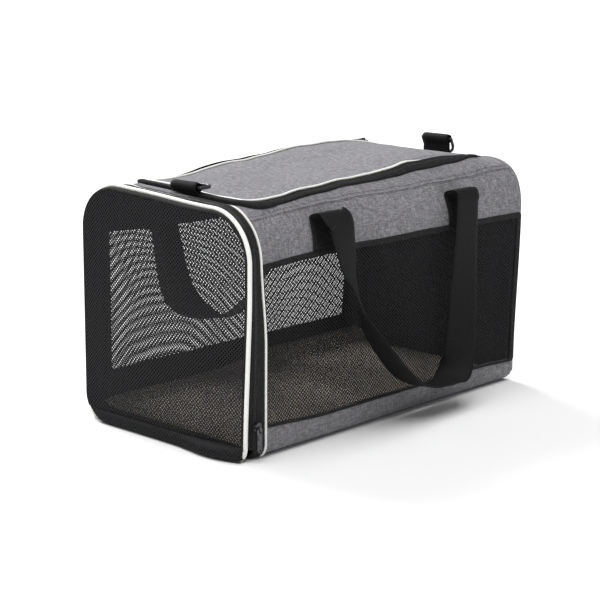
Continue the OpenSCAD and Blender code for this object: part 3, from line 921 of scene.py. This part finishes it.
def make_windows():
    """The mesh window of each side and the tape sewn round it."""
    x0, x1 = SKIN_FRONT + 0.5, SKIN_REAR + 1
    spare = 3.5
    for side, word, mesh_rear in ((-1, "near", REAR_X - 8), (1, "far", SKIN_REAR - 34)):
        t0 = WINDOW_T[side][0] - spare
        span_t = WINDOW_T[side][1] - t0
        mesh = net("side_mesh_%s_net" % word, lambda u, v, lift: skin(x0 + u, t0 + v, side, lift - 0.5),
                   (x1 - x0, span_t), everywhere, WINDOW_PITCH[side], WINDOW_THREAD[side])
        fit(mesh, "root", "mesh_fabric", "side_mesh_" + word)

        low, high = box_mm("window_binding_" + word)
        outer = rounded_rectangle(low[0] - 1, REAR_X + 0.9, low[2] + 1.5, high[2], 5.0)
        inner = rounded_rectangle(low[0] + 2, mesh_rear, low[2] + 5, high[2] - 7, 3.0)
        profile = pillow(0, 1, -1.6, 1.3)
        place = outer[:, None] + (inner - outer)[:, None] * profile[None, :, :1]
        x, t = place[..., 0], t_at_height(place[..., 1])
        t = t + (window_edge(x, side) - WINDOW_T[side][0]) * (1 - smooth(T_SIDE + 30, T_SIDE + 90, t))
        tape = sweep("window_binding_%s_tape" % word, skin(x, t, side, profile[None, :, 1]),
                     BLACK_TAPE, ring=True)
        fit(tape, "root", "black_fabric", "window_binding_" + word)


# ---- Rear wall ----

def make_rear():
    """The rear panel, the lining inside it, its binding and its hoop."""
    q = np.linspace(0, 2 * T_MID, 150)[:-1]
    side = np.where(q < T_MID, -1.0, 1.0)
    t = T_MID - np.abs(T_MID - q)
    y, z = skin(np.full_like(t, REAR_X), t, side, -0.4)[:, 1:].T
    k = np.linspace(0, 1, 26)
    cy, cz = 0.0, HEIGHT / 2
    grid_y = cy + (y[:, None] - cy) * k
    grid_z = cz + (z[:, None] - cz) * k
    bulge = 2.2 * (1 - smooth(0.3, 1, k)) + 0.8 * ripple(grid_y, grid_z, BROAD) * (1 - smooth(0.75, 1, k))
    for name, x, material, slot_name, node_name in (
            ("rear_cloth", REAR_X - 0.6, HEATHER_REAR, "heather_fabric", "rear_panel"),
            ("rear_lining_cloth", SKIN_REAR - 0.4, LINING, "black_fabric", "rear_lining")):
        points = np.stack([x + bulge, grid_y, grid_z], -1)
        if material is LINING:
            points = np.stack([x + bulge, grid_y * 0.985, cz + (grid_z - cz) * 0.985], -1)
        faces = grid_faces(len(q), len(k), ring=True)
        piece = make_object(name, points, faces, [material])
        outward_sheet(piece)
        thicken(piece, 1.8)
        fit(piece, "root", slot_name, node_name)
    start = float(t_at_low(DOOR_LOW))
    binding = strip_on("rear_binding_tape", section_track(REAR_X - 3.4, start), section_length(start),
                       pillow(-3.8, 3.6, -2.6, 0.9), HEATHER)
    fit(binding, "root", "heather_fabric", "rear_binding")
    make_sleeve("rear_hoop")


def outward_sheet(piece):
    """Joins the doubled middle points and makes the normals face +X."""
    work = bmesh.new()
    work.from_mesh(piece.data)
    bmesh.ops.remove_doubles(work, verts=work.verts, dist=0.00001)
    work.normal_update()
    if sum(f.normal.x * f.calc_area() for f in work.faces) < 0:
        bmesh.ops.reverse_faces(work, faces=work.faces)
    work.to_mesh(piece.data)
    work.free()


def make_sleeve(hoop):
    """A spring-wire hoop of the shell and the fabric tunnel that it runs in."""
    low, high = box_mm(hoop)
    middle = (low[0] + high[0]) / 2
    wire_r = (high[0] - low[0]) / 2
    depth = high[1] - wire_r - HALF
    track = section_track(middle, 0.0)
    for word, r, material, slot_name, nodes in (("_wire", wire_r, WIRE, "spring_wire", [hoop]),
                                                ("_sleeve", wire_r + 1, LINING, "black_fabric", [])):
        profile = circle_profile(r, 10) + (0, depth)
        piece = strip_on(hoop + word, track, section_length(0.0), profile, material, ring=True)
        fit(piece, "root", slot_name, *nodes)


# ---- Front edge of the shell ----

def raised_track(x0, start, near_rise, far_rise):
    """A track round the section that is lifted along the near and the far half of the roof."""
    level = section_track(x0, start)

    def track(s, d, lift):
        y = np.asarray(s, float) - (T_MID - start)
        halfway = smooth(-35, 15, y)
        near = smooth(-105, -58, y) * (1 - halfway)
        far = halfway * (1 - smooth(60, 105, y))
        return level(s, d, lift + near_rise * near + far_rise * far)
    return track


def make_front_edge():
    """The collar, its half of the zip, the thin piping and the sill under the door."""
    width = SKIN_FRONT - COLLAR_X
    middle = (COLLAR_X + SKIN_FRONT) / 2
    collar = strip_on("collar_tape", raised_track(middle, 0.0, *COLLAR_RISE), section_length(0.0),
                      pillow(-width / 2 + 0.1, width / 2, -2.5, 0.9), BLACK_TAPE, ring=True)
    fit(collar, "root", "black_fabric", "front_collar")
    start = float(t_at_low(DOOR_LOW))
    length = section_length(start)
    teeth = teeth_on("body_zip_coil", raised_track(COLLAR_X, start, *COLLAR_RISE), length,
                     0.9, 0.9, 0.5, width=2.6)
    fit(teeth, "root", "zip_coil", "body_zip_half")
    guard = strip_on("zip_guard", section_track(COLLAR_X, start), length, pillow(-4, 4, -3.5, -2.7), LINING)
    fit(guard, "root", "black_fabric")
    low = float(t_at_low(2.0))
    s = np.linspace(0, section_length(low), 300)
    centre, _, _, away = track_frames(raised_track(SKIN_FRONT + 0.4, low, -1.9, -4.5), s, 0.0, 1.3)
    piping = tube("body_piping_cord", centre, 1.4, PIPING, up=away)
    fit(piping, "root", "white_piping", "body_piping")
    for row, d in enumerate((-2.6, 4.2)):
        line = stitches_on("collar_stitches_%d" % row, raised_track(middle, start, *COLLAR_RISE),
                           2, length - 2, d, lift=0.75)
        fit(line, "root", "black_fabric")
    make_sleeve("front_hoop")
    make_sill()
    foot = float(t_at_low(2.6))
    for from_s, word in ((0.0, "near"), (section_length(foot) - (start - foot), "far")):
        s = from_s + np.linspace(0, start - foot, 10)
        centre, _, _, away = track_frames(section_track(FRONT_X + 4.0, foot), s, 0.0, 1.1)
        fit(tube("sill_piping_" + word, centre, PIPING_R, PIPING, up=away), "root", "white_piping")


def sill_front(y):
    """How far forward the padded sill reaches at y."""
    return FRONT_X - 8 + 5 * smooth(95, HALF, np.abs(y)) - 6 * np.exp(-((y + 75) / 32) ** 2)


def sill_low(y):
    """The lower edge of the sill at y, which follows the shell's lower corners."""
    r = np.where(y > 0, 2 * BASE_R, BASE_R)
    return 0.3 + r - np.sqrt(r ** 2 - np.clip(np.abs(y) - HALF + r, 0, r) ** 2)


def make_sill():
    """The padded sill under the door and the mesh over it, at the door's lower edge."""
    y = np.linspace(-HALF + 7.5, HALF - 1.5, 90)
    low = sill_low(y)
    high = DOOR_LOW + 3.8 + 0 * y
    front = sill_front(y)
    back = COLLAR_X - 6
    profile = pillow(-1, 1, -1, 1, power=0.65)
    x = (front[:, None] + back) / 2 + (back - front[:, None]) / 2 * profile[:, 0]
    z = (low + high)[:, None] / 2 + (high - low)[:, None] / 2 * profile[:, 1]
    sill = sweep("door_sill_cloth", np.stack(np.broadcast_arrays(x, y[:, None], z), -1), BLACK_TAPE)

    def place(u, v, lift):
        across = u - HALF + 7.5
        turn = math.pi * (0.12 + 0.76 * v / SILL_WRAP)
        foot = sill_low(across)
        middle, reach = (foot + DOOR_LOW + 3.8) / 2, (DOOR_LOW + 3.8 - foot) / 2
        centre = (sill_front(across) + back) / 2
        ahead = (centre - sill_front(across)) * np.sin(turn) ** 0.65 + 1.0 + lift
        return np.stack([centre - ahead, across, middle - reach * np.cos(turn)], -1)

    mesh = net("door_sill_net", place, (2 * HALF - 9, SILL_WRAP), everywhere, DOOR_PITCH, 0.9)
    for piece, slot_name in ((sill, "black_fabric"), (mesh, "mesh_fabric")):
        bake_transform(piece)
    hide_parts("door_sill")


# ---- Door ----

def door_ring(inset):
    """A closed path in Y and Z that follows the door's outline at a distance inside it."""
    start = float(t_at_low(DOOR_LOW + inset))
    q = np.linspace(start, 2 * T_MID - start, 360)
    upper = skin(FRONT_X, T_MID - np.abs(T_MID - q), np.where(q < T_MID, -1.0, 1.0), -inset)[:, 1:]
    upper = upper[upper[:, 1] > DOOR_LOW + inset + np.where(upper[:, 0] > 0, 16, 4)]
    low = DOOR_LOW + inset
    corner = np.linspace(0, 1, 8)[1:-1, None]
    first, last = upper[0], upper[-1]
    foot_near, foot_far = np.array([first[0] + 6, low]), np.array([last[0] - 16, low])
    knee_near, knee_far = np.array([first[0] + 0.5, low + 0.5]), np.array([last[0] - 0.5, low + 0.5])
    bend_far = (1 - corner) ** 2 * last + 2 * corner * (1 - corner) * knee_far + corner ** 2 * foot_far
    bend_near = (1 - corner) ** 2 * foot_near + 2 * corner * (1 - corner) * knee_near + corner ** 2 * first
    return evenly(np.concatenate([upper, bend_far, [foot_far, foot_near], bend_near, upper[:1]]), 4.0)[:-1]


def door_inset(y, z):
    """How far a place is inside the door's outline."""
    middle, half_high = (HEIGHT + DOOR_LOW) / 2, (HEIGHT - DOOR_LOW) / 2
    r = np.where(z > middle, TOP_R, DOOR_CORNER)
    past_y = np.abs(y) - HALF + r
    past_z = np.abs(z - middle) - half_high + r
    past_corner = np.hypot(np.maximum(past_y, 0), np.maximum(past_z, 0))
    return r - past_corner - np.minimum(np.maximum(past_y, past_z), 0)


def rim_puff(y):
    """How far the rim's padding stands forward of the door's plane: nothing at the near edge."""
    return RIM_PUFF * smooth(-125, -40, y)


def door_bulge(y, z):
    """How far the door's mesh stands forward of its plane: over the rim's edge, then in a slack middle."""
    middle = (HEIGHT + DOOR_LOW) / 2
    ry = np.clip(1 - (np.abs(y) / (HALF - 6)) ** 2.4, 0, 1)
    rz = np.clip(1 - (np.abs(z - middle) / ((HEIGHT - DOOR_LOW) / 2 - 6)) ** 2.4, 0, 1)
    edge = rim_puff(y) * np.sqrt(np.clip(door_inset(y, z) / 4.5, 0, 1))
    return edge + 4.5 * ry * rz + 0.8 * ripple(y, z, BROAD) * ry * rz


def make_door():
    """The door: rim, mesh, side tape, its half of the zip and the bold piping."""
    path = door_ring(RIM_WIDTH / 2)
    path[:, 0] += FAR_SET * smooth(-60, 60, path[:, 0])
    way = np.roll(path, -1, axis=0) - np.roll(path, 1, axis=0)
    way /= np.linalg.norm(way, axis=1)[:, None]
    out = np.stack([-way[:, 1], way[:, 0]], -1)
    profile = pillow(-RIM_WIDTH / 2, RIM_WIDTH / 2, 0, 1, power=0.6)
    yz = path[:, None] + out[:, None] * profile[None, :, :1]
    front = FRONT_X + 0.6 - rim_puff(path[:, :1])
    back = rim_high[0] - 3 + 3.4 * smooth(-125, -40, path[:, :1])
    x = front + (back - front) * profile[None, :, 1]
    rim = sweep("door_rim_tape", np.concatenate([x[..., None], yz], -1), BLACK_TAPE, ring=True)
    fit(rim, "door", "black_fabric", "door_rim", "door_hoop")

    edge = 1.6
    inner_half = HALF - edge
    low, high = DOOR_LOW + edge, HEIGHT - edge

    def place(u, v, lift):
        y, z = u - inner_half, low + v
        shift = FAR_SET * smooth(-60, 60, y)
        return lean(np.stack([FRONT_X + 0.2 - door_bulge(y, z) - lift + 0 * y, y + shift, z], -1))

    def keep(u, v):
        return door_inset(u - inner_half, low + v) > edge

    mesh = net("door_mesh_net", place, (2 * inner_half, high - low), keep, DOOR_PITCH, 0.96)
    fit(mesh, "door", "mesh_fabric", "door_mesh")

    start = float(t_at_low(DOOR_LOW))
    length = section_length(start)
    tape_low, tape_high = box_mm("door_side_tape")
    middle = (tape_low[0] + tape_high[0]) / 2
    half = (tape_high[0] - tape_low[0]) / 2
    tape = strip_on("door_side_cloth", raised_track(middle, start, *COLLAR_RISE), length,
                    pillow(-half, half - 0.1, -2.5, 0.7), BLACK_TAPE)
    fit(tape, "door", "black_fabric", "door_side_tape")
    teeth = teeth_on("door_zip_coil", raised_track(COLLAR_X, start, *COLLAR_RISE), length,
                     -0.9, 0.9, 0.0, width=2.6)
    fit(teeth, "door", "zip_coil", "door_zip_half")
    s = np.linspace(0, length, 300)
    centre, _, _, away = track_frames(section_track(FRONT_X + 4.0, start), s, 0.0, 1.1)
    piping = tube("door_piping_cord", centre, PIPING_R, PIPING, up=away)
    fit(piping, "door", "white_piping", "door_piping")


# ---- Webbing ----

def spline(points, count):
    """A smooth curve through rows of numbers."""
    points = np.asarray(points, float)
    wide = np.concatenate([2 * points[:1] - points[1:2], points, 2 * points[-1:] - points[-2:-1]])
    chord = np.linalg.norm(np.diff(points[:, :3], axis=0), axis=1) ** 0.7
    knots = np.concatenate([[0], np.cumsum(chord)])
    at = np.linspace(0, knots[-1], count)
    i = np.clip(np.searchsorted(knots, at, side="right") - 1, 0, len(points) - 2)
    f = ((at - knots[i]) / (knots[i + 1] - knots[i]))[:, None]
    p0, p1, p2, p3 = wide[i], wide[i + 1], wide[i + 2], wide[i + 3]
    return 0.5 * (2 * p1 + (p2 - p0) * f + (2 * p0 - 5 * p1 + 4 * p2 - p3) * f ** 2
                  + (3 * p1 - p0 - 3 * p2 + p3) * f ** 3)


def ribbon(name, centre, across, width=WEBBING, thick=1.8, cup=0.0):
    """Webbing along a path, lying across the given directions, with its length and width as UV."""
    centre = np.asarray(centre, float)
    along = np.gradient(centre, axis=0)
    along /= np.linalg.norm(along, axis=1)[:, None]
    across = across - np.sum(across * along, axis=1)[:, None] * along
    across /= np.linalg.norm(across, axis=1)[:, None]
    away = np.cross(along, across)
    w = np.linspace(-1, 1, 11)
    edge = thick / 2 * np.sqrt(np.clip(1 - np.abs(w) ** 12, 0, 1))
    edge[0] = edge[-1] = thick * 0.22
    bow = cup * (1 - w ** 2)
    profile = np.concatenate([np.stack([w * width / 2, bow + edge], -1),
                              np.stack([w[::-1] * width / 2, bow[::-1] - edge[::-1]], -1)])
    points = centre[:, None] + profile[None, :, :1] * across[:, None] + profile[None, :, 1:] * away[:, None]
    length = np.concatenate([[0], np.cumsum(np.linalg.norm(np.diff(centre, axis=0), axis=1))]) * MM
    uv = np.stack(np.broadcast_arrays(length[:, None], profile[None, :, 0] * MM), -1)
    return sweep(name, points, WEB, uv=uv)


def strap_end(x, low):
    """Rows of X, distance outwards, Z and twist for a handle's sewn end, from low over its fold."""
    return [(x, 1.6, low, 0), (x, 1.6, low + 12, 0), (x, 1.8, low + 26, 0), (x, 3.2, low + 36, 0),
            (x, 8.0, low + FOLD_TOP, 0), (x, 13.4, low + FOLD_RISE, 0)]


def make_handles():
    """Both handles: each is one strap, from a sewn end over its fold, round the hanging loop and back."""
    # Most of the near rows are another program's output, solved from points in the photo.
    # The far rows are round numbers set with the help of points measured in the photo.
    near = [(-112.5, 17.5, 246, 0), (-108, 19.5, 226, 9), (-102, 20.5, 202, 18), (-92.8, 21.5, 178, 37),
            (-81.7, 22.5, 149, 51), (-66, 23.5, 121, 76), (-38.4, 24.5, 87, 86), (-5, 25.5, 55.4, 91),
            (23, 26, 40.2, 94), (49.6, 26, 36, 97), (70, 25.5, 37, 92), (87, 24, 44, 62),
            (97.5, 22.5, 62.7, 34), (103.3, 21, 102.4, 23), (106.2, 20, 143.6, 14), (111, 18, 190, 4),
            (115, 16, 240, 0)]
    far = [(-115, 16.5, 238, 0), (-104, 18.5, 208, 4), (-96, 20, 178, 10), (-88, 21, 145, 20),
           (-75, 22.5, 117, 36), (-50, 24.5, 94, 56), (-13, 26, 77, 76), (22, 25.5, 79, 72),
           (47, 24, 97, 54), (75, 22, 124, 36), (98, 20, 166, 20), (110, 18, 208, 8), (115, 16.5, 238, 0)]
    for side, word, rows in ((-1, "near", near), (1, "far", far)):
        anchors = ["anchor_%s_%s" % (word, end) for end in ("front", "rear")]
        reach = -float(sum(box_mm(anchors[0])[i][0] for i in (0, 1))) / 2
        low = box_mm(anchors[0])[0][2]
        path = strap_end(-reach, low) + rows + strap_end(reach, low)[::-1]
        curve = spline(path, 320)
        t = t_at_height(curve[:, 2])
        wall = side * skin(curve[:, 0], t, side, 0.0)[:, 1]
        sewn = 1 - smooth(2.5, 9, curve[:, 1])
        out = side * (HALF + curve[:, 1] + sewn * (wall - HALF + 0.2))
        centre = np.stack([curve[:, 0], out, curve[:, 2]], -1)
        twist = np.radians(curve[:, 3])[:, None]
        along = np.gradient(curve[:, [0, 2]], axis=0)
        below = smooth(2, 45, low + FOLD_TOP - curve[:, 2])
        hanging = np.where(curve[:, 1] > 9, below, 0)[:, None]
        flat = np.stack([along[:, 1], 0 * along[:, 0], -along[:, 0]], -1)
        flat /= np.linalg.norm(flat, axis=1)[:, None]
        down = np.arange(len(flat)) < len(flat) / 2
        rest = np.where(down[:, None], [-1.0, 0, 0], [1.0, 0, 0])
        flat = flat * hanging + rest * (1 - hanging)
        across = np.cos(twist) * flat + np.sin(twist) * np.array([0.0, side, 0.0])
        strap = ribbon("handle_%s_strap" % word, centre, across)
        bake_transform(strap)
        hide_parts("handle_" + word, *anchors)
        for x, node_name in zip((-reach, reach), anchors):
            box_stitches(node_name + "_stitches", x, side, low + 3, low + 24)


def box_stitches(name, x, side, low, high):
    """A stitched box with a cross in it on a strap's sewn end."""
    half = WEBBING / 2 - 3.5
    corners = [(-half, low), (half, low), (half, high), (-half, high)]
    lines = [(corners[i], corners[(i + 1) % 4]) for i in range(4)]
    lines += [(corners[0], corners[2]), (corners[1], corners[3])]
    centres, along = [], []
    for a, b in lines:
        a, b = np.array(a), np.array(b)
        count = int(np.linalg.norm(b - a) / 3.0)
        way = (b - a) / np.linalg.norm(b - a)
        for i in range(count):
            place = a + (b - a) * (i + 0.5) / count
            centres.append(skin(x + place[0], t_at_height(place[1]), side, 2.75))
            along.append((way[0], 0.0, way[1]))
    centres, along = np.array(centres), np.array(along)
    away = np.broadcast_to([0.0, float(side), 0.0], centres.shape)
    piece = beads(name, centres, along, np.cross(away, along), away, (2.1, 0.6, 0.35), STITCH)
    fit(piece, "root", "webbing")


def make_loops():
    """The two webbing loops that hold the strap rings."""
    for node_name in ("loop_front", "loop_rear"):
        low, high = box_mm(node_name)
        cx, cz = (low[0] + high[0]) / 2, high[2] - LOOP_DROP
        if node_name == "loop_front":
            cx = high[0] - LOOP_DROP
        foot = low[2] + 0.6
        angle = np.linspace(-0.42 * math.pi, 1.42 * math.pi, 30)
        turn = np.stack([cx + LOOP_R * np.cos(angle), cz + LOOP_R * np.sin(angle)], -1)
        if node_name == "loop_front":
            start = np.array([[cx + 7, foot + 1.2], [cx + 3.2, foot + 1.6]])
            end = np.array([[cx - 3.4, foot + 1.0]])
        else:
            start = np.array([[cx + 1.6, foot], [cx + 1.6, (foot + cz) / 2 - 2]])
            end = np.array([[cx - 1.6, (foot + cz) / 2 - 2], [cx - 1.6, foot]])
        path = np.concatenate([start, turn, end])
        fine = spline(np.concatenate([path, 0 * path], -1)[:, [0, 2, 1, 3]], 70)[:, :3]
        fine = np.stack([fine[:, 0], 0 * fine[:, 0], fine[:, 2]], -1)
        strap = ribbon(node_name + "_strap", fine, np.broadcast_to([0, 1.0, 0], fine.shape))
        fit(strap, "root", "webbing", node_name)


# ---- Floor of the bag ----

def rounded_slab(name, node_name, corner, material, spread=0.0):
    """A slab with rounded upright corners. One that spreads is soft and curls up along the far wall."""
    low, high = box_mm(node_name)
    hx, hy = (high[0] - low[0]) / 2, (high[1] - low[1]) / 2 + spread
    cx, cy, cz = (low + high) / 2
    thick = (high[2] - low[2]) / 2
    turn = np.linspace(0, math.pi / 2, 9)
    rim = []
    for sx, sy, first in ((1, 1, 0), (-1, 1, 1), (-1, -1, 2), (1, -1, 3)):
        angle = turn + first * math.pi / 2
        rim.append(np.stack([sx * (hx - corner) + corner * np.cos(angle),
                             sy * (hy - corner) + corner * np.sin(angle)], -1))
    rim = np.concatenate(rim)
    rim = evenly(np.concatenate([rim, rim[:1]]), 6.0)[:-1]
    k = np.concatenate([np.linspace(0, 0.9, 26), 1 - 0.1 * np.cos(np.linspace(0.2, 1, 8) * math.pi / 2)])
    edge = np.sqrt(np.clip(1 - ((k - 0.86) / 0.14).clip(0, 1) ** 2, 0, 1)) if spread else np.ones_like(k)
    top = rim[:, None] * k[None, :, None]
    height = thick * edge[None, :] + 0 * top[..., 0]
    curl = 0 * height
    if spread:
        height = height + 0.9 * ripple(top[..., 0], top[..., 1], CREASE) * edge * (k < 0.97) - 0.9 * edge
        curl = (6 + 12 * smooth(-60, 60, top[..., 0])) * smooth(hy - 34, hy, top[..., 1])
    up = np.stack([cx + top[..., 0], cy + top[..., 1], cz + curl + height], -1)
    down = np.stack([cx + top[..., 0], cy + top[..., 1], cz + curl - thick * edge + 0 * height], -1)
    rows = np.concatenate([up, down[:, ::-1]], axis=1)
    return outward(make_object(name, rows, grid_faces(len(rim), rows.shape[1], ring=True), [material]))


def make_floor():
    """The stiff board and the fleece pad on it."""
    board = rounded_slab("base_board_cloth", "base_board", 10, BOARD)
    fit(board, "root", "board", "base_board")
    pad = rounded_slab("floor_pad_fleece", "floor_pad", 8, FLEECE, spread=8.0)
    fit(pad, "root", "fleece", "floor_pad")


def soften(part, material):
    """Gives a piece its material and softened edges."""
    part.data.materials.clear()
    part.data.materials.append(material)
    bevel = part.modifiers.new("softened edges", "BEVEL")
    bevel.width = 0.35 * MM
    bevel.segments = 3
    bevel.limit_method = "ANGLE"


def finish_hardware():
    """Materials for the CAD pieces that show as they are, and the flap's slider on the raised zip."""
    for name in ("d_ring_front", "d_ring_rear"):
        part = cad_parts[name]
        part.data.materials.clear()
        part.data.materials.append(RING)
    for name in ("door_slider", "door_pull"):
        soften(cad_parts[name], METAL)
    low, high = box_mm("flap_slider")
    x, y, _ = (low + high) / 2
    rise = float(roof_point(x, y, puff(x, y))[2]) - HEIGHT + 0.4
    for name in ("flap_slider", "flap_pull"):
        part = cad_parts[name]
        raised = bpy.data.objects.new(name + "_raised", part.data.copy())
        raised.data.transform(Matrix.Translation((0, 0, rise * MM)) @ part.matrix_world)
        bpy.context.scene.collection.objects.link(raised)
        soften(raised, METAL)
        fit(raised, name, "zip_metal", name)


make_bands()
make_roof()
make_flap()
make_zip_ends()
make_windows()
make_rear()
make_front_edge()
make_door()
make_handles()
make_loops()
make_floor()
finish_hardware()
